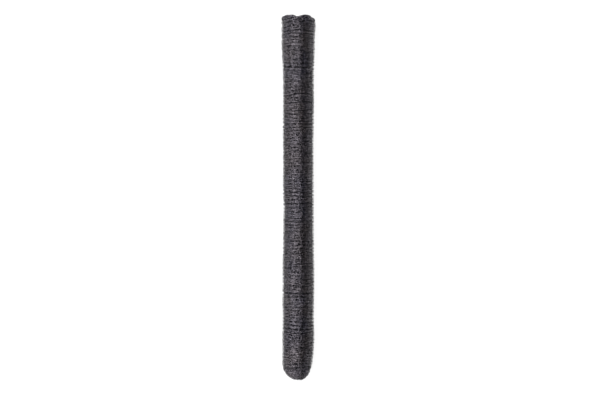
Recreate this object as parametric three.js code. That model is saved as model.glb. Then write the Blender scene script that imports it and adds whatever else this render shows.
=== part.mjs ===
// A roll of black deer netting: one long net, folded in half along its length and wound up on itself.
// The roll lies along Y, its flared end at +Y, and rests on a small flat spot along its underside.
// Turns are degrees round the roll, from 0 at the top towards +X.

import * as THREE from "three";

// Sizes of the net and of the roll, in millimetres.
const NET_WIDTH = 2134;
const ROLL_LENGTH = NET_WIDTH / 2;
const FLATTENING = 0.97; // height of a section over its width, as the roll lies
const FLAT_WIDTH = 24;

// The loose outer edge of the net runs the whole length as a step down from the outer turn.
const LAP_TURN = 14;
const LAP_STEP = 2.2;
const LAP_SLOPE = 0.7; // degrees to each side of the step

// The inner turns have slid out at the narrow end, as a blunt nose, and have sunk at the flared end.
const NOSE_LENGTH = 39;
const NOSE_BLUNTNESS = 0.6;
const NOSE_SLANT = 0.13; // the nose reaches further on the +X side
const NOSE_CROWDING = 1.2; // the rings stand closer together towards the middle
const LIP = 1.7; // the outer turn's own edge, where the nose starts
const LIP_UNEVENNESS = 0.9; // how much wider and narrower the lip is round the nose
const LIP_TURN = 80; // where the lip is at its widest
const DISH_DEPTH = 22;
const DISH_MIDDLE = 3; // how far the dish's own surface would fall short of the full length

// The main turns show at both ends as one spiral ridge, round a small hollow in the middle.
const MAIN_TURNS = 4;
const NOSE_RIDGE = 2.2;
const DISH_RIDGE = 4.5;
const HOLLOW_RADIUS = 7;
const HOLLOW_DEPTH = 9;
const RIDGE_INNER = { none: 0.08, full: 0.3 }; // shares of the end's radius between which the ridge rises
const RIDGE_OUTER = { full: 0.8, none: 1 }; // and fades again

// How finely the roll is divided.
const COLUMNS = 48;
const SIDE_STEPS = 38;
const END_RINGS = 17;
const RIM_RINGS = 4;

// Sections along the roll, from the outer turn's edge at the narrow end: how wide the roll is there,
// and how far the middle of the section stands off the roll's straight line.
const SECTIONS = [
  { at: 0, width: 86.5, aside: -3.2 },
  { at: 20, width: 90.2, aside: -2 },
  { at: 52, width: 92.6, aside: 0.4 },
  { at: 92, width: 94.6, aside: 1 },
  { at: 152, width: 92.6, aside: 0.6 },
  { at: 206, width: 93.7, aside: 0.9 },
  { at: 270, width: 93.4, aside: 1.1 },
  { at: 440, width: 92.3, aside: 1.2 },
  { at: 489, width: 90.4, aside: 1.3 },
  { at: 538, width: 92, aside: 0 },
  { at: 620, width: 90.3, aside: 0 },
  { at: 730, width: 91.2, aside: -0.4 },
  { at: 835, width: 91.8, aside: 0 },
  { at: 932, width: 94, aside: 0.3 },
  { at: 958, width: 98, aside: 0.2 },
  { at: 1010, width: 98.8, aside: 0.3 },
  { at: 1048, width: 102.6, aside: 1.6 },
  { at: ROLL_LENGTH, width: 102.6, aside: 1.6 },
];

// The rim of the flared end, round the roll: how far it falls short of the roll's full length, and the
// radius with which it turns in.
const RIM = [
  { turn: -180, drop: 9, round: 10 },
  { turn: -125, drop: 2, round: 9 },
  { turn: -80, drop: 0, round: 5 },
  { turn: -28, drop: 0, round: 9 },
  { turn: -8, drop: 8, round: 10 },
  { turn: 10, drop: 2.5, round: 10 },
  { turn: 30, drop: 1.5, round: 11 },
  { turn: 80, drop: 3, round: 15 },
  { turn: 130, drop: 1, round: 12 },
  { turn: 180, drop: 9, round: 10 },
];
const RIM_REACH = 45; // how far down the side the rim's waves still tell

// Soft lumps and dents of the uneven winding: where each lies, how high it stands and how far it spreads.
const LUMPS = [
  { at: 80, turn: -40, high: 1.2, along: 60, around: 40 },
  { at: 170, turn: 60, high: -1.3, along: 70, around: 45 },
  { at: 250, turn: -110, high: 1.4, along: 90, around: 40 },
  { at: 330, turn: 20, high: 1, along: 60, around: 35 },
  { at: 420, turn: 110, high: -1.2, along: 80, around: 50 },
  { at: 490, turn: -70, high: -1, along: 26, around: 70 },
  { at: 560, turn: 45, high: 1.1, along: 60, around: 40 },
  { at: 680, turn: -30, high: -1, along: 80, around: 40 },
  { at: 770, turn: 95, high: 1.2, along: 70, around: 45 },
  { at: 860, turn: -120, high: -1.3, along: 70, around: 50 },
  { at: 985, turn: 10, high: 1.3, along: 45, around: 40 },
];

// The value of a column at a place in a table whose rows are in order, eased from each row to the next.
function eased(table, key, place, column) {
  const upper = Math.max(1, table.findIndex((row) => row[key] >= place));
  const [low, high] = [table[upper - 1], table[upper]];
  const share = THREE.MathUtils.smoothstep(place, low[key], high[key]);
  return THREE.MathUtils.lerp(low[column], high[column], share);
}

// A turn brought to the range from -180 to 180.
function wrapped(turn) {
  return THREE.MathUtils.euclideanModulo(turn + 180, 360) - 180;
}

// How far the lumps raise the roll at a place on its side.
function lumpHeight(at, turn) {
  let height = 0;
  for (const lump of LUMPS) {
    const along = (at - lump.at) / lump.along;
    const around = wrapped(turn - lump.turn) / lump.around;
    height += lump.high * Math.exp(-along * along - around * around);
  }
  return height;
}

// The roll's radius across X: half the section's width, the spiral of the outer turn and the lumps.
function radiusAt(at, turn) {
  const round = THREE.MathUtils.euclideanModulo(turn - LAP_TURN, 360) / 360;
  return eased(SECTIONS, "at", at, "width") / 2 + LAP_STEP * (round - 0.5) + lumpHeight(at, turn);
}

// The spiral ridge of the main turns on an end, 1 on its crest and 0 in its groove, fading at the edge.
function ridge(share, turn) {
  const crest = 0.5 + 0.5 * Math.cos(2 * Math.PI * (share * MAIN_TURNS - turn / 360));
  const rise = THREE.MathUtils.smoothstep(share, RIDGE_INNER.none, RIDGE_INNER.full);
  const fade = 1 - THREE.MathUtils.smoothstep(share, RIDGE_OUTER.full, RIDGE_OUTER.none);
  return crest * rise * fade;
}

// A point of the narrow end: share is its distance from the middle over the nose's radius.
function nosePoint(share, turn) {
  const angle = THREE.MathUtils.degToRad(turn);
  const lip = LIP + LIP_UNEVENNESS * Math.cos(angle - THREE.MathUtils.degToRad(LIP_TURN));
  const radius = share * (radiusAt(0, turn) - lip);
  const bulge = (1 - share * share) ** NOSE_BLUNTNESS;
  const hollow = HOLLOW_DEPTH * Math.exp(-((radius / HOLLOW_RADIUS) ** 2));
  const slant = NOSE_SLANT * radius * Math.sin(angle) * bulge;
  return { radius, at: hollow + NOSE_RIDGE * (1 - ridge(share, turn)) * bulge - NOSE_LENGTH * bulge - slant };
}

// A point of the side: share runs from the narrow end's edge to the start of the rim.
function sidePoint(share, turn) {
  const end = ROLL_LENGTH - eased(RIM, "turn", wrapped(turn), "round");
  const plain = share * end;
  const near = THREE.MathUtils.smoothstep(plain, end - RIM_REACH, end);
  const at = plain - near * eased(RIM, "turn", wrapped(turn), "drop");
  return { radius: radiusAt(plain, turn), at };
}

// A point of the rim: a quarter round from the side over into the dish, share running inwards.
function rimPoint(share, turn) {
  const angle = (share * Math.PI) / 2;
  const foot = sidePoint(1, turn);
  const round = eased(RIM, "turn", wrapped(turn), "round");
  return {
    radius: foot.radius - round * (1 - Math.cos(angle)),
    at: foot.at + round * Math.sin(angle),
  };
}

// A point of the flared end inside its rim: share is its distance from the middle over the rim's radius.
function dishPoint(share, turn) {
  const rim = rimPoint(1, turn);
  const radius = share * rim.radius;
  const sunk = DISH_DEPTH * (1 - share * share) ** 2 + HOLLOW_DEPTH * Math.exp(-((radius / HOLLOW_RADIUS) ** 2));
  const at = THREE.MathUtils.lerp(ROLL_LENGTH - DISH_MIDDLE, rim.at, share * share);
  return { radius, at: at - sunk - DISH_RIDGE * ridge(share, turn) };
}

// The rows of the roll's skin, from the middle of the narrow end to the middle of the flared one.
function skinRows() {
  const rows = [];
  for (let ring = 0; ring <= END_RINGS; ring++) {
    const share = Math.sin((ring / END_RINGS) * (Math.PI / 2)) ** NOSE_CROWDING;
    rows.push({ place: nosePoint, share });
  }
  for (let step = 0; step <= SIDE_STEPS; step++) {
    rows.push({ place: sidePoint, share: step / SIDE_STEPS });
  }
  for (let ring = 1; ring <= RIM_RINGS; ring++) {
    rows.push({ place: rimPoint, share: ring / RIM_RINGS });
  }
  for (let ring = 1; ring <= END_RINGS; ring++) {
    rows.push({ place: dishPoint, share: 1 - ring / END_RINGS });
  }
  return rows;
}

// The turn of a column of the skin: even round the roll, with one narrow column for the lap's step.
function columnTurn(column) {
  const start = LAP_TURN + LAP_SLOPE;
  if (column === COLUMNS) {
    return start + 360;
  }
  return start + (column * (360 - 2 * LAP_SLOPE)) / (COLUMNS - 1);
}

// The roll as one lathe turned about Y, each of its points then set in place.
function rollGeometry() {
  const rows = skinRows();
  const profile = rows.map((row) => {
    const { radius, at } = row.place(row.share, 0);
    return new THREE.Vector2(radius, at);
  });
  const geometry = new THREE.LatheGeometry(profile, COLUMNS);
  const position = geometry.getAttribute("position");
  for (let column = 0; column <= COLUMNS; column++) {
    const turn = columnTurn(column);
    const angle = THREE.MathUtils.degToRad(turn);
    rows.forEach((row, index) => {
      const { radius, at } = row.place(row.share, turn);
      const along = THREE.MathUtils.clamp(at, 0, ROLL_LENGTH);
      const halfHeight = (FLATTENING * eased(SECTIONS, "at", along, "width")) / 2;
      const flatFall = halfHeight - Math.sqrt(halfHeight ** 2 - (FLAT_WIDTH / 2) ** 2);
      const x = eased(SECTIONS, "at", along, "aside") + radius * Math.sin(angle);
      const z = halfHeight - flatFall + FLATTENING * radius * Math.cos(angle);
      position.setXYZ(column * rows.length + index, x, at, Math.max(0, z));
    });
  }
  return geometry;
}

const netting = new THREE.MeshStandardMaterial({ color: 0x2b2a2d, roughness: 0.55, metalness: 0 });
const roll = new THREE.Mesh(rollGeometry(), netting);
roll.name = "net_roll";
roll.geometry.computeBoundingBox();
const middle = roll.geometry.boundingBox.getCenter(new THREE.Vector3());
roll.position.set(-middle.x, -middle.y, 0);

const part = new THREE.Group();
part.add(roll);

export default part;
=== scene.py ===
"""A roll of black deer netting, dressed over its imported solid.

Places on the roll are given by two numbers: turns, the share of a full turn counted from the net's lap, and
run, the way along the roll's profile from the middle of its nose over the side to the middle of its flared
end. Lengths are in metres.
"""

import math

import bpy
import numpy as np
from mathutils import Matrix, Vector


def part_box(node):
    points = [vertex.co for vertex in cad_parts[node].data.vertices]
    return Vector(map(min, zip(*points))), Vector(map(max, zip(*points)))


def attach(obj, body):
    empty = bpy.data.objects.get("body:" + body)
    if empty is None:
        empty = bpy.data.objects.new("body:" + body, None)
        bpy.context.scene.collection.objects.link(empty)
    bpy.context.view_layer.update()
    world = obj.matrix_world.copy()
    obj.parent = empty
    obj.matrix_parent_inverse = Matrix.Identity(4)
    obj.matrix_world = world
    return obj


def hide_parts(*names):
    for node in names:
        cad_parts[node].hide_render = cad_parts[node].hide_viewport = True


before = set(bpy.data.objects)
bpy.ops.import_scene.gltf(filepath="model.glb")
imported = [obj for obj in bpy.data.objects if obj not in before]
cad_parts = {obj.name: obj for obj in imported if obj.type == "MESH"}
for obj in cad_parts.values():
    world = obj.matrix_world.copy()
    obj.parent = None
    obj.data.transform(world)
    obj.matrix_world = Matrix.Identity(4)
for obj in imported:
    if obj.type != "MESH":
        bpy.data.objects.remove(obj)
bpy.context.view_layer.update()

# The inner turns: a net of extruded black polypropylene, folded in half along its length and wound on itself
# some two hundred times, so deep that it reads as one dark body of crossing strands. The body has the packed
# solid's own form, a little way in, and the outer turns lie on it.

# The net and the roll.
FOLDED_WIDTH = 2.134 / 2
MESH_ALONG = 0.0216  # from joint to joint of the net along the roll
MESH_ROUND = 0.0190  # and round it
ROLL_GIRTH = 0.289

# How the solid's skin is measured.
AXIS_SHARE = 0.47  # height of the roll's axis over the roll's own height
NOSE_REACH = 0.047  # from each end to the place on the axis from which that end is measured
FLARE_REACH = 0.058
NOSE_ROWS = 40
SIDE_ROWS = 190
FLARE_ROWS = 48
SKIN_COLUMNS = 145
SKIN_EASING = 3
POLE_MARGIN = 0.01  # angle left out about the axis at each end
LAP_NEAR = math.radians(14)  # the lap's angle from the top, and how far to each side it is looked for
LAP_SEARCH = math.radians(9)
LAP_TRIES = 37
LAP_EVERY = 6  # the lap is looked for in one of so many rows
LAP_EASING = 12
LAP_MARGIN = 0.006  # share of a turn left out to each side of the lap's step
ROW_SLIVER = 0.001  # the last row and the last turn are read from just inside them
TURN_SLIVER = 0.0001

# How unevenly the net is wound. A kind of wave has a seed, how many waves are summed, the length of the
# shortest along the roll and the most that go round it.
WAVE_SPAN = 4  # the longest wave along the roll over the shortest
ROW_SHIFT = 0.0022
ROW_WAVES = {"seed": 11, "count": 9, "long": 0.10, "most_round": 2}
RIDGE_HEIGHT = 0.00015
HALF_RIDGE_HEIGHT = 0.00020
FIRMNESS = 0.6  # share of their height that the ridges have, and how far it varies
FIRMNESS_SPREAD = 0.4
FIRM_WAVES = {"seed": 12, "count": 6, "long": 0.12, "most_round": 2}
BAND_HEIGHT = 0.00010
BAND_WAVES = {"seed": 3, "count": 14, "long": 0.03, "most_round": 7}
LIP_FADE = 0.03  # over how long a run the ridges and bands fade at each end
RIM_FADE = 0.04
CRUMPLE_HEIGHT = 0.0010
CRUMPLE_REACH = 0.035  # how far from the rim of the flared end the loose net still crumples
CRUMPLE_WAVES = {"seed": 4, "count": 14, "long": 0.018, "most_round": 11}

# The body's mesh.
BODY_DEPTH = 0.0026
BODY_ROWS = 420
BODY_COLUMNS = 96
BODY_CLEARANCE = 0.0004  # height over the ground

# The body's finish. Widths and wanders of its lines are shares of their pitch.
UPPER_ROWS = {"pitch": MESH_ALONG / 5, "width": 0.17, "wander": 2.5, "seed": 1.0}
LOWER_ROWS = {"pitch": MESH_ALONG / 8, "width": 0.22, "wander": 4.0, "seed": 2.0}
SLACK_COLUMNS = {"pitch": MESH_ROUND / 2, "width": 0.05, "wander": 1.4, "seed": 3.0}
LOWER_SHARE = 0.55  # how strongly the lower rows and the columns show, over the upper rows
COLUMN_SHARE = 0.7
WANDER_SCALE = 30.0
PACKED_GRAIN = {"Scale": 420.0, "Detail": 2.0}
# Between its lines the body is near black: partly the net's own black, partly painted shade where the light
# is lost deep in the layers.
PACKED_BLACK_AND_SHADE = (0.0008, 0.0008, 0.0011)
PACKED_PALE = (0.0168, 0.0161, 0.0196)
PACKED_CUT = 0.05  # the faintest lines, which stay dark
# Its gloss is kept very low too, as painted shade deep in the layers.
PACKED_SPECULAR = 0.035
PACKED_ROUGHNESS = 0.42
PACKED_ROUGH_SPREAD = 0.2
PACKED_RISE = 0.0008
PACKED_GRAIN_RISE = 0.2  # height of the grain over that of the lines

roll_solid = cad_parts["net_roll"]
roll_low, roll_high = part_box("net_roll")
axis_height = AXIS_SHARE * roll_high.z


def profile_rays():
    """Where the rays that measure the roll start along its axis, and how they lean from straight out.

    A fan over the nose, straight rays along the side and a fan over the flared end.
    """
    nose, flare = roll_low.y + NOSE_REACH, roll_high.y - FLARE_REACH
    fan = math.pi / 2 - POLE_MARGIN
    low = np.linspace(-fan, 0, NOSE_ROWS, endpoint=False)
    high = np.linspace(fan, 0, FLARE_ROWS, endpoint=False)[::-1]
    side = np.linspace(nose, flare, SIDE_ROWS)
    starts = np.concatenate([np.full(NOSE_ROWS, nose), side, np.full(FLARE_ROWS, flare)])
    leans = np.concatenate([low, np.zeros(SIDE_ROWS), high])
    return starts, leans


def reach(start, lean, turn):
    """How far a ray from the roll's axis goes before it leaves the solid."""
    way = (math.cos(lean) * math.sin(turn), math.sin(lean), math.cos(lean) * math.cos(turn))
    origin = (0.0, start, axis_height)
    hit, place, _, _ = roll_solid.ray_cast(origin, way)
    return math.dist(place, origin) if hit else 0.0


def measured_skin():
    """The solid's skin on a grid: the lap's angle in each row, and the distance from the axis and the place
    along it in each row and column.

    The columns run once round, from just past the lap to just before it, so that the lap's step is between
    the last column and the first. The lap is the steepest fall of the distance near its angle.
    """
    starts, leans = profile_rays()
    search = np.linspace(LAP_NEAR - LAP_SEARCH, LAP_NEAR + LAP_SEARCH, LAP_TRIES)
    middle = range(NOSE_ROWS, NOSE_ROWS + SIDE_ROWS, LAP_EVERY)
    falls = [np.diff([reach(starts[row], 0.0, turn) for turn in search]).argmin() for row in middle]
    lap = np.interp(np.arange(len(starts)), middle, search[falls] + LAP_SEARCH / (LAP_TRIES - 1))
    share = np.linspace(LAP_MARGIN, 1 - LAP_MARGIN, SKIN_COLUMNS)
    far = np.empty((len(starts), SKIN_COLUMNS))
    for row, (start, lean) in enumerate(zip(starts, leans)):
        far[row] = [reach(start, lean, lap[row] + 2 * math.pi * turn) for turn in share]
    return lap, far * np.cos(leans)[:, None], starts[:, None] + far * np.sin(leans)[:, None]


def eased(field, times):
    """A field with each value averaged a number of times with its four neighbours, half of it its own."""
    for _ in range(times):
        wide = np.pad(field, 1, mode="edge")
        field = (wide[:-2, 1:-1] + wide[2:, 1:-1] + wide[1:-1, :-2] + wide[1:-1, 2:] + 4 * field) / 8
    return field


lap_turn, skin_radius, skin_along = measured_skin()
skin_radius, skin_along = eased(skin_radius, SKIN_EASING), eased(skin_along, SKIN_EASING)
lap_turn = eased(lap_turn[:, None], LAP_EASING)[:, 0]
profile_step = np.hypot(np.diff(skin_radius, axis=0), np.diff(skin_along, axis=0)).mean(axis=1)
run_of_row = np.concatenate([[0], np.cumsum(profile_step)])
run_end = run_of_row[-1]
along_of_row = skin_along.mean(axis=1)
lower_rows = slice(0, NOSE_ROWS + SIDE_ROWS)
run_lip = np.interp(roll_high.y - FOLDED_WIDTH, along_of_row[lower_rows], run_of_row[lower_rows])
run_rim = run_of_row[along_of_row.argmax()]
slope_radius = np.gradient(skin_radius, axis=0)
slope_along = np.gradient(skin_along, axis=0)
slope_length = np.hypot(slope_radius, slope_along)
normal_radius, normal_along = slope_along / slope_length, -slope_radius / slope_length


def read_skin(field, run, turns):
    """A field of the skin at any places, blended between the four nearest measured ones."""
    rows = len(run_of_row)
    row = np.clip(np.interp(run, run_of_row, np.arange(rows)), 0, rows - (1 + ROW_SLIVER))
    column = np.clip(turns, 0, 1 - TURN_SLIVER) * (SKIN_COLUMNS - 1)
    low, left = row.astype(int), column.astype(int)
    up, right = row - low, column - left
    below = field[low, left] * (1 - right) + field[low, left + 1] * right
    above = field[low + 1, left] * (1 - right) + field[low + 1, left + 1] * right
    return below * (1 - up) + above * up


def waves(turns, run, kind, number=0):
    """A smooth uneven field, about 1 high: a sum of sine waves of random slant and phase.

    The number is added to the seed of the kind of wave, so that one kind gives many fields.
    """
    draw = np.random.default_rng(kind["seed"] + number)
    total = np.zeros(np.broadcast(turns, run).shape)
    for _ in range(kind["count"]):
        around = draw.integers(-kind["most_round"], kind["most_round"] + 1)
        along = draw.uniform(1 / WAVE_SPAN, 1.0) / kind["long"]
        total += np.sin(2 * math.pi * (around * turns + along * run) + draw.uniform(0, 2 * math.pi))
    return total / math.sqrt(kind["count"] / 2)


def row_shift(turns, run):
    """How far the rows of strands that lie over one another wander along the roll."""
    return ROW_SHIFT * waves(turns, run, ROW_WAVES)


def ripple(turns, run):
    """How far the winding raises or sinks the side: a ridge on each row of strands, a lower one halfway to
    the next, and shallow uneven bands, all fading at the ends, and crumples about the flared end's rim."""
    fade = np.clip((run - run_lip) / LIP_FADE, 0, 1) * np.clip((run_rim - run) / RIM_FADE, 0, 1)
    row = 2 * math.pi * (run - run_lip - row_shift(turns, run)) / MESH_ALONG
    firm = FIRMNESS + FIRMNESS_SPREAD * waves(turns, run, FIRM_WAVES)
    bands = BAND_HEIGHT * waves(turns, run, BAND_WAVES)
    crumples = CRUMPLE_HEIGHT * (waves(turns, run, CRUMPLE_WAVES) - 1)
    near_rim = np.exp(-(((run - run_rim) / CRUMPLE_REACH) ** 2))
    ridges = firm * (RIDGE_HEIGHT * np.cos(row) + HALF_RIDGE_HEIGHT * np.cos(2 * row))
    return fade * (ridges + bands) + near_rim * crumples


def on_roll(turns, run, depth, lowest):
    """Points under the skin by a depth, and the directions straight out of the roll there.

    The skin's distance and place are moved inwards along the profile's normal. Past the lap the distance
    stays what it was at the lap. No point is lower than the lowest height given.
    """
    out, lean = read_skin(normal_radius, run, turns), read_skin(normal_along, run, turns)
    sunk = depth - ripple(turns, run)
    radius = read_skin(skin_radius, run, turns) - sunk * out
    along = read_skin(skin_along, run, turns) - sunk * lean
    angle = np.interp(run, run_of_row, lap_turn) + 2 * math.pi * turns
    height = np.maximum(axis_height + radius * np.cos(angle), lowest)
    points = np.stack([radius * np.sin(angle), along, height], axis=-1)
    normals = np.stack([out * np.sin(angle), lean, out * np.cos(angle)], axis=-1)
    return points, normals


def scene_object(name, data):
    """A new object in the scene."""
    made = bpy.data.objects.new(name, data)
    bpy.context.scene.collection.objects.link(made)
    return made


def mesh_object(name, places, groups):
    """A smooth mesh object of places and groups of faces, each group with its corners' places in the map."""
    mesh = bpy.data.meshes.new(name)
    mesh.vertices.add(len(places))
    mesh.vertices.foreach_set("co", places.astype(np.float32).ravel())
    corners = np.concatenate([faces.ravel() for faces, _ in groups]).astype(np.int32)
    sizes = np.concatenate([np.full(len(faces), faces.shape[1]) for faces, _ in groups])
    mesh.loops.add(len(corners))
    mesh.loops.foreach_set("vertex_index", corners)
    mesh.polygons.add(len(sizes))
    mesh.polygons.foreach_set("loop_start", (np.cumsum(sizes) - sizes).astype(np.int32))
    mesh.update(calc_edges=True)
    mesh.shade_smooth()
    flat = np.concatenate([corner_map.ravel() for _, corner_map in groups]).astype(np.float32)
    mesh.uv_layers.new(name="OFBake").data.foreach_set("uv", flat)
    return scene_object(name, mesh)


def body_mesh():
    """The body as a grid of turns and runs under the skin by its depth, closed round and at both poles.

    The first column lies just past the lap and the last just before it, with the lap's step between them.
    """
    turns = np.linspace(0, 1, BODY_COLUMNS)
    run = np.linspace(0, run_end, BODY_ROWS + 2)[1:-1]
    grid, _ = on_roll(turns[None, :], run[:, None], BODY_DEPTH, BODY_CLEARANCE)
    poles = grid[[0, -1]].mean(axis=1)
    places = np.concatenate([grid.reshape(-1, 3), poles])
    index = np.arange(BODY_ROWS * BODY_COLUMNS).reshape(BODY_ROWS, BODY_COLUMNS)
    after = np.roll(index, -1, axis=1)
    quads = np.stack([index[:-1], index[1:], after[1:], after[:-1]], axis=-1).reshape(-1, 4)
    low_pole = np.full(BODY_COLUMNS, index.size)
    low_cap = np.stack([low_pole, index[0], after[0]], axis=-1)
    high_cap = np.stack([low_pole + 1, after[-1], index[-1]], axis=-1)
    u = np.arange(BODY_COLUMNS) / BODY_COLUMNS
    v = run / run_end
    step = 1 / BODY_COLUMNS
    across = np.broadcast_to(u, (BODY_ROWS - 1, BODY_COLUMNS))
    below = np.broadcast_to(v[:-1, None], across.shape)
    above = np.broadcast_to(v[1:, None], across.shape)
    quad_map = np.stack([across, below, across, above, across + step, above, across + step, below], axis=-1)
    first, last = np.full_like(u, v[0]), np.full_like(u, v[-1])
    low_map = np.stack([u + step / 2, 0 * u, u, first, u + step, first], axis=-1)
    high_map = np.stack([u + step / 2, 0 * u + 1, u + step, last, u, last], axis=-1)
    return mesh_object("inner_turns", places, [(quads, quad_map), (low_cap, low_map), (high_cap, high_map)])


class Wire:
    """An output socket of a material's nodes. Arithmetic on wires and numbers adds Math nodes."""

    MIX_COLOURS = (6, 7)  # a Mix node's sockets for colours, and the output for them
    MIX_RESULT = 2

    def __init__(self, tree, socket=None):
        self.tree = tree
        self.socket = socket

    def node(self, kind, settings, sockets, output=0):
        """Adds a node of a kind, with its settings first and then its sockets' values or links."""
        made = self.tree.nodes.new("ShaderNode" + kind)
        for key, value in settings.items():
            setattr(made, key, value)
        for key, value in sockets.items():
            if isinstance(value, Wire):
                self.tree.links.new(value.socket, made.inputs[key])
            else:
                made.inputs[key].default_value = value
        return Wire(self.tree, made.outputs[output])

    def math(self, operation, *values):
        """A Math node on wires and numbers."""
        return self.node("Math", {"operation": operation}, dict(enumerate(values)))

    def mix(self, low, high):
        """A colour between two colours, by this value held from 0 to 1."""
        settings = {"data_type": "RGBA", "clamp_factor": True}
        ends = [end if isinstance(end, Wire) else (*end, 1) for end in (low, high)]
        return self.node("Mix", settings, {0: self, **dict(zip(self.MIX_COLOURS, ends))}, self.MIX_RESULT)

    def feed(self, socket):
        """Links this output to a shader's input."""
        self.tree.links.new(self.socket, socket)

    def __add__(self, other):
        return self.math("ADD", self, other)

    def __sub__(self, other):
        return self.math("SUBTRACT", self, other)

    def __rsub__(self, other):
        return self.math("SUBTRACT", other, self)

    def __mul__(self, other):
        return self.math("MULTIPLY", self, other)

    __radd__ = __add__
    __rmul__ = __mul__


def new_finish(name):
    """A material, its shader and a wire to start from."""
    material = bpy.data.materials.new(name)
    material.use_nodes = True
    tree = material.node_tree
    return material, tree.nodes["Principled BSDF"], Wire(tree)


def strand_lines(across, place, pitch, width, wander, seed):
    """Lines of strands at a pitch across one coordinate: 1 on a strand, 0 beside it, wandering slowly."""
    noise = {"noise_dimensions": "4D"}
    stray = place.node("TexNoise", noise, {"Vector": place, "W": seed, "Scale": WANDER_SCALE})
    way = across * (1 / pitch) + (stray - 0.5) * wander
    off = way.math("PINGPONG", way, 0.5)
    fall = {"Value": off, "From Min": width, "From Max": 0.0}
    return off.node("MapRange", {"interpolation_type": "SMOOTHSTEP"}, fall)


def packed_finish():
    """The net seen edge on and many layers deep: near black, the net's own black with painted shade of the
    layers over one another, and the dull lines of strands lying below.
    """
    material, shader, start = new_finish("packed_netting")
    place = start.node("TexCoord", {}, {}, "Object")
    flat = start.node("UVMap", {"uv_map": "OFBake"}, {})
    along = flat.node("SeparateXYZ", {}, {0: flat}, "Y") * float(run_end)
    around = flat.node("SeparateXYZ", {}, {0: flat}, "X") * ROLL_GIRTH
    rows = strand_lines(along, place, **UPPER_ROWS)
    rows_below = strand_lines(along, place, **LOWER_ROWS)
    columns = strand_lines(around, place, **SLACK_COLUMNS)
    strands = rows.math("MAXIMUM", rows, rows_below * LOWER_SHARE)
    strands = strands.math("MAXIMUM", strands, columns * COLUMN_SHARE)
    grain = start.node("TexNoise", {}, {"Vector": place, **PACKED_GRAIN})
    paleness = strands * (0.5 + grain) - PACKED_CUT
    # The dark between the lines is the net's black with painted shade of the deep layers.
    paleness.mix(PACKED_BLACK_AND_SHADE, PACKED_PALE).feed(shader.inputs["Base Color"])
    (PACKED_ROUGHNESS + PACKED_ROUGH_SPREAD * (grain - 0.5)).feed(shader.inputs["Roughness"])
    height = strands + grain * PACKED_GRAIN_RISE
    bump = start.node("Bump", {}, {"Strength": 1.0, "Distance": PACKED_RISE, "Height": height})
    bump.feed(shader.inputs["Normal"])
    shader.inputs["Specular IOR Level"].default_value = PACKED_SPECULAR
    return material


body = body_mesh()
body.data.materials.append(packed_finish())
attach(body, "root")
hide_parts("net_roll")

# The outer turns: the net itself, extruded strands of black polypropylene that are joined where they cross.
# Each turn is two plies of net. Wound under tension, the strands round the roll have settled into common
# rows, one ply's between the other's, and those along it lie slack.

# The strands, as flattened tubes. Their steps are shares of the way from joint to joint.
STRAND_SIDES = 3
FLATNESS = 0.30  # height of a strand over its width
AROUND_RADIUS = 0.00048
ALONG_RADIUS = 0.00023
JOINT_SWELL = 1.15
JOINT_NEAR = 0.01  # how close to a whole mesh a joint is
TWIST = 0.85  # how far a strand turns about itself from point to point, in radians
RING_STEPS = (0.0, 0.1, 0.37, 0.63, 0.9)
LINE_STEPS = (0.0, 0.12, 0.5, 0.88)
LEAST_STEP = 0.05  # at both ends of a strand
MAP_LANES = 64  # lanes of the map, and how many of them each strand lies past the one before it
LANE_STEP = 23

# The plies, from the outermost in. Their phases, starts, ends and scatters are counted in meshes.
PLIES = 24
PLIES_A_PIECE = 4
PLIES_WITH_LINES = 2  # further in, the strands along the roll are lost in the dark between the rings
PLY_SEED = 100
TOP_DEPTH = -0.0014
SHELL_DEPTH = 0.0031
DEPTH_POWER = 2.0  # the outermost plies are drawn tightest, and lie closest together
GOLDEN_SHARE = (math.sqrt(5) - 1) / 2
PHASE_SPREAD = 0.33  # how far the plies of one side of the fold are spread
FIRST_COLUMN = (-0.6, 0.1)  # where a ply starts from the lap
PAST_LAP = (0.0, 0.5)  # where it ends a turn later
RING_MARGINS = (0.15, 0.1)  # free of rings at the lip of the nose and at the rim of the flared end
LINE_START = 0.05
LINE_END = (-0.05, 0.1)
RING_SLIP = 0.5
ROW_SCATTER = 0.07
COLUMN_SCATTER = 0.05
RING_LIFT = 0.0001
LINE_SUNK = 0.0004
OWN_SHIFT = 0.0005
OWN_WAVES = {"seed": 200, "count": 10, "long": 0.04, "most_round": 5}
SLACK = 0.0042
SLACK_WAVES = {"seed": 300, "count": 10, "long": 0.035, "most_round": 3}
BOW = 0.00022
BOW_WAVES = {"seed": 400, "count": 8, "long": 0.03, "most_round": 6}

# The strands' finish.
STRAND_DARK = (0.0027, 0.0025, 0.0032)
STRAND_COOL = (0.0090, 0.0097, 0.0207)
STRAND_WARM = (0.0153, 0.0098, 0.0064)
# The joints' colours are paler partly for whitening where the strands were stretched, partly as a painted
# glint.
JOINT_COOL_WITH_GLINT = (0.0259, 0.0259, 0.0371)
JOINT_WARM_WITH_GLINT = (0.0322, 0.0266, 0.0266)
COARSE_DUST = {"Scale": 70.0, "Detail": 3.0}
COARSE_SHARE = 0.8
FINE_DUST = {"Scale": 900.0, "Detail": 2.0}
FINE_SHARE = 0.5
DUST_CUT = 0.4  # below which a strand is bare
WARM_PATCHES = {"Scale": 14.0, "Detail": 2.0}
WARM_CONTRAST = 4
WARM_CUT = 1.5
STRAND_ROUGHNESS = 0.25
STRAND_ROUGH_SPREAD = 0.15
STRAND_SPECULAR = 0.78
STRAND_TINT = (0.945, 0.86, 0.95)
KINKS = {"Scale": 260.0, "Detail": 1.0}
KINK_RISE = 0.002
FINE_RISE = 0.01  # height of the fine dust over that of the kinks


def unit(vectors):
    """The directions of vectors, each 1 long."""
    return vectors / np.linalg.norm(vectors, axis=-1, keepdims=True)


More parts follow.
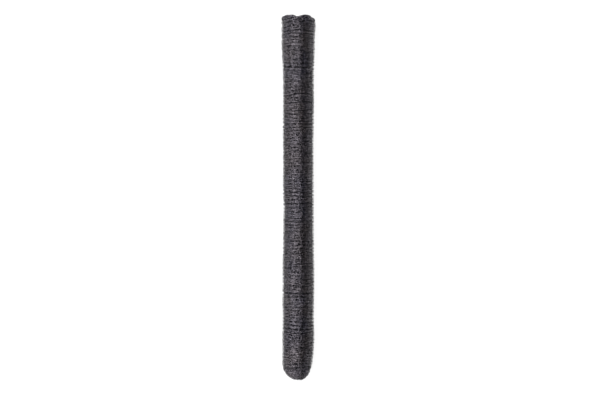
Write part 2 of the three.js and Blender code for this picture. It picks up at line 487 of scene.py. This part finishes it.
def tube_parts(paths, normals, radius, joints):
    """Places, faces, map, joint marks and normals of closed flattened tubes along many paths at once.

    Each ring is a path's point plus its radius, swollen at a joint, times a direction that turns round the
    path, less high than wide, so set that one side faces outwards. The normals are those of the ellipse
    through the ring. The map gives each tube a lane, with the way along the tube across the map.
    """
    strands, points = joints.shape
    radii = radius * (1 + JOINT_SWELL * joints)
    tangent = np.gradient(paths, axis=1)
    side = unit(np.cross(tangent, normals))
    up = unit(np.cross(side, tangent))
    turn = (np.arange(STRAND_SIDES) + 0.5) * 2 * math.pi / STRAND_SIDES
    cosines, sines = np.cos(turn)[:, None], np.sin(turn)[:, None]
    ring = FLATNESS * up[:, :, None] * cosines + side[:, :, None] * sines
    places = paths[:, :, None] + radii[:, :, None, None] * ring
    outwards = up[:, :, None] * cosines + FLATNESS * side[:, :, None] * sines
    index = np.arange(places.size // 3).reshape(strands, points, STRAND_SIDES)
    after = np.roll(index, -1, axis=2)
    quads = np.stack([index[:, :-1], after[:, :-1], after[:, 1:], index[:, 1:]], axis=-1)
    caps = np.stack([index[:, 0, ::-1], index[:, -1]], axis=1)
    lane = (np.arange(strands) * LANE_STEP % MAP_LANES)[:, None, None] / MAP_LANES
    far, high = 1 / (points - 1), 1 / (STRAND_SIDES * MAP_LANES)
    u = np.broadcast_to((np.arange(points - 1) * far)[None, :, None], quads.shape[:3])
    v = np.broadcast_to(lane + (np.arange(STRAND_SIDES) * high)[None, None, :], quads.shape[:3])
    quad_map = np.stack([u, v, u, v + high, u + far, v + high, u + far, v], axis=-1)
    end = np.broadcast_to(np.array([0, 1 - far])[None, :], (strands, 2))
    row = np.broadcast_to(lane[:, :, 0], end.shape)
    cap_map = np.stack([end, row, end + far, row, end, row + high], axis=-1)
    sides = (quads.reshape(-1, 4), quad_map.reshape(-1, 8))
    ends = (caps.reshape(-1, 3), cap_map.reshape(-1, 6))
    marks = np.repeat(joints[:, :, None], STRAND_SIDES, axis=2)
    return places.reshape(-1, 3), (sides, ends), marks.ravel(), outwards.reshape(-1, 3)


def joined(name, parts, finish):
    """One mesh object of several sets of tubes, with its joint marks, riding with the roll."""
    places, groups, marks, outwards = zip(*parts)
    firsts = np.cumsum([0] + [len(part_places) for part_places in places])
    joined_groups = []
    for group in zip(*groups):
        faces = np.concatenate([part_faces + first for (part_faces, _), first in zip(group, firsts)])
        joined_groups.append((faces, np.concatenate([part_map for _, part_map in group])))
    made = mesh_object(name, np.concatenate(places), joined_groups)
    joint_marks = made.data.attributes.new("joint", "FLOAT", "POINT")
    joint_marks.data.foreach_set("value", np.concatenate(marks).astype(np.float32))
    made.data.normals_split_custom_set_from_vertices(unit(np.concatenate(outwards)).tolist())
    made.data.materials.append(finish)
    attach(made, "root")


def steps_between(low, high, shares):
    """Both ends of a stretch counted in meshes, and the shares of each mesh that lie between them."""
    inner = (np.arange(math.floor(low), math.ceil(high))[:, None] + shares).ravel()
    inner = inner[(inner > low + LEAST_STEP) & (inner < high - LEAST_STEP)]
    return np.concatenate([[low], inner, [high]])


def at_joint(steps):
    """1 at each whole mesh and 0 between."""
    return (np.abs(steps - np.round(steps)) < JOINT_NEAR).astype(float)


def twisted(paths, outward, twist):
    """Outward directions of strands, each turned about its own strand by an angle."""
    across = unit(np.cross(np.gradient(paths, axis=1), outward))
    return np.cos(twist)[:, :, None] * outward + np.sin(twist)[:, :, None] * across


def ply_parts(number):
    """The strands of one ply: rings of net round the roll and, on the outermost plies, lines along it.

    A joint of the net lies at a whole number of meshes both ways. The same uneven fields shift the joints
    and bow the strands between them, so that rings and lines still meet there. Further in, where only the
    rings show, each of them has slipped round on its own.
    """
    draw = np.random.default_rng(PLY_SEED + number)
    depth = TOP_DEPTH + (SHELL_DEPTH - TOP_DEPTH) * (number / (PLIES - 1)) ** DEPTH_POWER
    columns = round(ROLL_GIRTH / MESH_ROUND)
    phase = 0.5 * (number % 2) + PHASE_SPREAD * (number * GOLDEN_SHARE % 1 - 0.5)
    first_column = draw.uniform(*FIRST_COLUMN)
    past_lap = draw.uniform(*PAST_LAP)

    def place(around, along, lift, radius):
        """Points of the ply and the directions out of the roll there, at places counted in meshes."""
        turns = around / columns
        run = run_lip + along * MESH_ALONG
        shift = row_shift(turns, run) + OWN_SHIFT * waves(turns, run, OWN_WAVES, number)
        slip = SLACK * waves(turns, run, SLACK_WAVES, number) / ROLL_GIRTH
        bow = BOW * waves(turns, run, BOW_WAVES, number)
        return on_roll(turns + slip, run + shift, depth + bow - lift, (1 + JOINT_SWELL) * radius)

    rows = (run_rim - run_lip) / MESH_ALONG
    lowest = math.ceil(RING_MARGINS[0] - phase)
    highest = math.floor(rows - phase - RING_MARGINS[1])
    ring_rows = np.arange(lowest, highest + 1) + phase
    ring_rows = ring_rows + draw.normal(0, ROW_SCATTER, len(ring_rows))
    # The lines' places are drawn for every ply, though only the outermost have lines.
    line_columns = np.arange(columns) + first_column + 0.5 + draw.normal(0, COLUMN_SCATTER, columns)
    line_end = rows - phase + draw.uniform(*LINE_END)
    ring_steps = steps_between(-0.5, columns + past_lap - first_column - 0.5, RING_STEPS)
    ring_turns = ring_steps[None, :] + first_column + 0.5
    if number >= PLIES_WITH_LINES:
        ring_turns = ring_turns + draw.uniform(-RING_SLIP, RING_SLIP, (len(ring_rows), 1))
    rings, outward = place(ring_turns, ring_rows[:, None], RING_LIFT, AROUND_RADIUS)
    outward = twisted(rings, outward, draw.normal(0, TWIST, rings.shape[:2]))
    ring_joints = np.tile(at_joint(ring_steps), (len(ring_rows), 1))
    parts = [tube_parts(rings, outward, AROUND_RADIUS, ring_joints)]
    if number < PLIES_WITH_LINES:
        line_steps = steps_between(LINE_START - phase, line_end, LINE_STEPS)
        lines, outward = place(line_columns[:, None], line_steps[None, :] + phase, -LINE_SUNK, ALONG_RADIUS)
        line_joints = np.tile(at_joint(line_steps), (columns, 1))
        parts.append(tube_parts(lines, outward, ALONG_RADIUS, line_joints))
    return parts


def strand_finish():
    """Extruded black polypropylene: a dull gloss, dusty grey in patches, paler at the joints, partly
    whitened where stretched and partly a painted glint.
    """
    material, shader, start = new_finish("net_strands")
    place = start.node("TexCoord", {}, {}, "Object")
    joint = start.node("Attribute", {"attribute_name": "joint"}, {}, "Fac")
    coarse = start.node("TexNoise", {}, {"Vector": place, **COARSE_DUST})
    fine = start.node("TexNoise", {}, {"Vector": place, **FINE_DUST})
    dust = coarse * COARSE_SHARE + fine * FINE_SHARE - DUST_CUT
    patch = start.node("TexNoise", {}, {"Vector": place, **WARM_PATCHES})
    warmth = patch * WARM_CONTRAST - WARM_CUT
    strand = dust.mix(STRAND_DARK, warmth.mix(STRAND_COOL, STRAND_WARM))
    # Paler at the joints: stretch whitening with a painted glint.
    strand_with_joint_glint = (joint * (0.5 + fine)).mix(strand, warmth.mix(JOINT_COOL_WITH_GLINT, JOINT_WARM_WITH_GLINT))
    strand_with_joint_glint.feed(shader.inputs["Base Color"])
    coarse_rough = STRAND_ROUGH_SPREAD * (coarse - 0.5)
    fine_rough = STRAND_ROUGH_SPREAD * (fine - 0.5)
    (STRAND_ROUGHNESS + coarse_rough + fine_rough).feed(shader.inputs["Roughness"])
    kinks = start.node("TexNoise", {}, {"Vector": place, **KINKS})
    height = kinks + fine * FINE_RISE
    bump = start.node("Bump", {}, {"Strength": 1.0, "Distance": KINK_RISE, "Height": height})
    bump.feed(shader.inputs["Normal"])
    shader.inputs["Specular IOR Level"].default_value = STRAND_SPECULAR
    shader.inputs["Specular Tint"].default_value = (*STRAND_TINT, 1)
    return material


netting = strand_finish()
for piece in range(PLIES // PLIES_A_PIECE):
    plies = range(piece * PLIES_A_PIECE, (piece + 1) * PLIES_A_PIECE)
    joined(f"outer_turn_{piece + 1}", [part for ply in plies for part in ply_parts(ply)], netting)

# The nose: the net's fold, where every turn doubles back. The folds of the inner turns stand out from the
# edge of the outer one, each inside the next, as close set loops of the strands along the roll, with arcs
# of the strands round it between them.

# The loops, over the whole nose and on the lip of the outer turn. Each size is drawn between two values.
NOSE_LOOPS = 360
NOSE_LOOP_SEED = 31
LIP_LOOPS = 220
LIP_LOOP_SEED = 32
LIP_SPREAD = 0.0014
LIP_SEED = 21
LOOP_BENDS = 5
LOOP_RADIUS = 0.00038
LOOP_LEAN = 0.3
LOOP_WIDE = (0.0012, 0.0030)
LOOP_HIGH = (0.0010, 0.0040)
LOOP_LEG = (0.0015, 0.0080)
LOOP_DEPTH = (0.0004, 0.0022)

# The arcs. Their reach is a share of a turn.
NOSE_ARCS = 420
NOSE_ARC_SEED = 30
ARC_POINTS = 13
ARC_POINTS_A_MESH = 4
ARC_REACH = (0.06, 0.28)
ARC_DEPTH = (-0.0010, 0.0020)
ARC_WANDER = 0.0012
ARC_HEAVE = ARC_WANDER / 3
ARC_WAVES = {"seed": 1, "count": 12, "long": 0.008, "most_round": 9}
POLE_LEFT = 0.004  # run left free about the middle of each end


def spread(count, low, high):
    """Places spread over an end of the roll between two runs, as turns and runs.

    The runs give each place the same area round the roll, and each place is a golden share of a turn past
    the one before it.
    """
    inside = (run_of_row >= low) & (run_of_row <= high)
    area = np.cumsum(skin_radius.mean(axis=1) * np.gradient(run_of_row) * inside)
    step = np.arange(count)
    return step * GOLDEN_SHARE % 1, np.interp((step + 0.5) / count * area[-1], area, run_of_row)


def loop_parts(turns, run, seed):
    """Strands along the roll that double back: two legs into the roll and a half round bend between them.

    Each bend lies across the plane through the roll's axis and stands out past the end, leaning a little
    from it, its own width, height and depth drawn at random.
    """
    draw = np.random.default_rng(seed)
    count = len(run)
    wide, high = draw.uniform(*LOOP_WIDE, count), draw.uniform(*LOOP_HIGH, count)
    leg, depth = draw.uniform(*LOOP_LEG, count), draw.uniform(*LOOP_DEPTH, count)
    foot, outward = on_roll(turns, run, depth, LOOP_WIDE[1])
    forth = unit(LOOP_LEAN * (outward + draw.normal(0, 1, (count, 3))) + (0, -1, 0))
    across = foot - (0, 0, axis_height)
    across = unit(across - forth * (across * forth).sum(axis=1, keepdims=True))
    bend = np.linspace(0, math.pi, LOOP_BENDS)
    sideways = np.concatenate([[1], np.cos(bend), [-1]])
    outwards = np.concatenate([[0], np.sin(bend), [0]])
    aside = wide[:, None] / 2 * sideways
    ahead = high[:, None] * outwards
    ahead[:, [0, -1]] = -leg[:, None]
    paths = foot[:, None] + aside[:, :, None] * across[:, None] + ahead[:, :, None] * forth[:, None]
    normals = sideways[:, None] * across[:, None] + outwards[:, None] * forth[:, None]
    paths[:, :, 2] = np.maximum(paths[:, :, 2], LOOP_RADIUS)
    return tube_parts(paths, normals, LOOP_RADIUS, np.zeros(paths.shape[:2]))


def arc_parts(count, low, high, radius, seed):
    """Arcs of strand round an end of the roll, each wandering in its run and depth."""
    draw = np.random.default_rng(seed)
    middle, run = spread(count, low, high)
    reach_round = draw.uniform(*ARC_REACH, count)
    middle = np.clip(middle, reach_round / 2, 1 - reach_round / 2)
    turns = middle[:, None] + reach_round[:, None] * np.linspace(-0.5, 0.5, ARC_POINTS)
    run = run[:, None] + ARC_WANDER * waves(turns, run[:, None], ARC_WAVES, seed)
    depth = draw.uniform(*ARC_DEPTH, count)[:, None]
    depth = depth + ARC_HEAVE * waves(turns, run, ARC_WAVES, seed + 1)
    run = np.clip(run, POLE_LEFT, run_end - POLE_LEFT)
    paths, normals = on_roll(turns, run, depth, (1 + JOINT_SWELL) * radius)
    normals = twisted(paths, normals, draw.normal(0, TWIST, turns.shape))
    joints = np.tile(at_joint(np.arange(ARC_POINTS) / ARC_POINTS_A_MESH), (count, 1))
    return tube_parts(paths, normals, radius, joints)


lip_turns, _ = spread(LIP_LOOPS, 0, run_lip)
lip_run = run_lip + LIP_SPREAD * np.random.default_rng(LIP_SEED).normal(0, 1, LIP_LOOPS)
nose_parts = [
    arc_parts(NOSE_ARCS, POLE_LEFT, run_lip, AROUND_RADIUS, NOSE_ARC_SEED),
    loop_parts(*spread(NOSE_LOOPS, POLE_LEFT, run_lip - LIP_SPREAD), NOSE_LOOP_SEED),
    loop_parts(lip_turns, lip_run, LIP_LOOP_SEED),
]
joined("nose_folds", nose_parts, netting)

# The flared end: the net's two selvedges, each a thicker border strand extruded with the net, with the ends
# of the strands along the roll on it. They have worked loose, and roll in over the rim into a shallow dish.

BORDER_ARCS = 460
BORDER_SEED = 40
BORDER_RADIUS = 0.00062
BORDER_RUN = 0.012  # how far down the side the first borders lie
STUBS = 1500
STUB_SEED = 41
STUB_RUN = BORDER_RUN / 2
STUB_POINTS = 4
STUB_LENGTH = (0.0020, 0.0042)
STUB_LEAN = 0.35
STUB_DEPTH = 0.0024


def stub_parts(count, low, high, seed):
    """Short ends of strand that stand up out of an end of the roll, each with its own lean and curl.

    A stub goes straight its own way from its foot, bent aside by the square of the way gone.
    """
    draw = np.random.default_rng(seed)
    foot, outward = on_roll(*spread(count, low, high), STUB_DEPTH, STUB_LENGTH[1])
    way = unit(STUB_LEAN * (outward + draw.normal(0, 1, (count, 3))) + (0, 1, 0))
    curl = STUB_LEAN * draw.normal(0, 1, (count, 3))
    far = draw.uniform(*STUB_LENGTH, count)[:, None] * np.linspace(0, 1, STUB_POINTS)
    bent = far**2 / STUB_LENGTH[1]
    paths = foot[:, None] + far[:, :, None] * way[:, None] + bent[:, :, None] * curl[:, None]
    paths[:, :, 2] = np.maximum(paths[:, :, 2], LOOP_RADIUS)
    normals = np.broadcast_to(np.cross(way, curl)[:, None], paths.shape)
    return tube_parts(paths, normals, LOOP_RADIUS, np.zeros(paths.shape[:2]))


flare_parts = [
    arc_parts(BORDER_ARCS, run_rim - BORDER_RUN, run_end - POLE_LEFT, BORDER_RADIUS, BORDER_SEED),
    stub_parts(STUBS, run_rim - STUB_RUN, run_end - POLE_LEFT, STUB_SEED),
]
joined("flared_selvedges", flare_parts, netting)

# The surface it lies on: the wide top of a light table, a dull sheet lit from below. It is dimmer in a strip
# under the roll, and shows only as an even white ground.

FLOOR_SIZE = 5.0
FLOOR_COLOUR = (0.05, 0.05, 0.05)
FLOOR_ROUGHNESS = 0.9
FLOOR_GLOW = (0.92, 2.65)  # under the roll, and out to both sides of it
GLOW_RISE = (0.07, 0.16)  # how far to the side the glow starts and ends to rise

half = FLOOR_SIZE / 2
floor_corners = [(-half, -half, 0), (half, -half, 0), (half, half, 0), (-half, half, 0)]
floor_mesh = bpy.data.meshes.new("floor")
floor_mesh.from_pydata(floor_corners, [], [(0, 1, 2, 3)])
floor = scene_object("floor", floor_mesh)
ground, ground_shader, ground_start = new_finish("pale_ground")
ground_shader.inputs["Base Color"].default_value = (*FLOOR_COLOUR, 1)
ground_shader.inputs["Roughness"].default_value = FLOOR_ROUGHNESS
ground_place = ground_start.node("TexCoord", {}, {}, "Object")
ground_off = ground_start.node("SeparateXYZ", {}, {0: ground_place}, "X")
ground_off = ground_off.math("ABSOLUTE", ground_off)
ground_rise = {"Value": ground_off, "From Min": GLOW_RISE[0], "From Max": GLOW_RISE[1]}
ground_glow = ground_start.node("MapRange", {"interpolation_type": "SMOOTHSTEP"}, ground_rise)
ground_dim = FLOOR_GLOW[0] / FLOOR_GLOW[1]
ground_glow.mix((ground_dim,) * 3, (1, 1, 1)).feed(ground_shader.inputs["Emission Color"])
ground_shader.inputs["Emission Strength"].default_value = FLOOR_GLOW[1]
floor_mesh.materials.append(ground)

# The light: one very large soft box overhead and to the left of the roll, which shines mostly straight
# ahead, and a surround that is white at the height of the ground and almost dark overhead.

SURROUND_LOW = 1.02
SURROUND_HIGH = 0.04
SURROUND_HEIGHTS = (0.19, 0.26)  # between which it darkens, as sines of the angle above the ground
KEY_LEAN = math.radians(-28)
KEY_FAR = 2.7
KEY_SIZE = (4.0, 4.4)
KEY_SPREAD = math.radians(150)
KEY_POWER = 352  # watts

world = bpy.data.worlds.new("surround")
world.use_nodes = True
surround = world.node_tree.nodes["Background"]
sky = Wire(world.node_tree)
sky_way = sky.node("TexCoord", {}, {})  # in a surround, the direction of view
sky_height = sky.node("SeparateXYZ", {}, {0: sky_way}, "Z")
sky_fall = {"Value": sky_height, "From Min": SURROUND_HEIGHTS[0], "From Max": SURROUND_HEIGHTS[1]}
sky_light = sky.node("MapRange", {}, {**sky_fall, "To Min": SURROUND_LOW, "To Max": SURROUND_HIGH})
sky_light.feed(surround.inputs["Strength"])
surround.inputs["Color"].default_value = (1, 1, 1, 1)
bpy.context.scene.world = world

key_lamp = bpy.data.lights.new("key_light", "AREA")
key_lamp.shape = "RECTANGLE"
key_lamp.size, key_lamp.size_y = KEY_SIZE
key_lamp.spread = KEY_SPREAD
key_lamp.energy = KEY_POWER
key_light = scene_object("key_light", key_lamp)
key_light.location = (KEY_FAR * math.sin(KEY_LEAN), 0, KEY_FAR * math.cos(KEY_LEAN))
key_light.rotation_euler = (0, KEY_LEAN, 0)
key_light.visible_camera = False

# The camera: a plain lens straight above the roll, so far off that the roll fills the height of the picture.
# The colours are shown as they are, with no tone curve.

MILLIMETRES = 1000  # in a metre
LENS = 0.050
SENSOR = 0.036
CAMERA_PLACE = (0.0040, -0.0040, 2.583)

camera_data = bpy.data.cameras.new("camera")
camera_data.lens = LENS * MILLIMETRES
camera_data.sensor_width = SENSOR * MILLIMETRES
camera = scene_object("camera", camera_data)
camera.location = CAMERA_PLACE
bpy.context.scene.camera = camera
bpy.context.scene.view_settings.view_transform = "Standard"
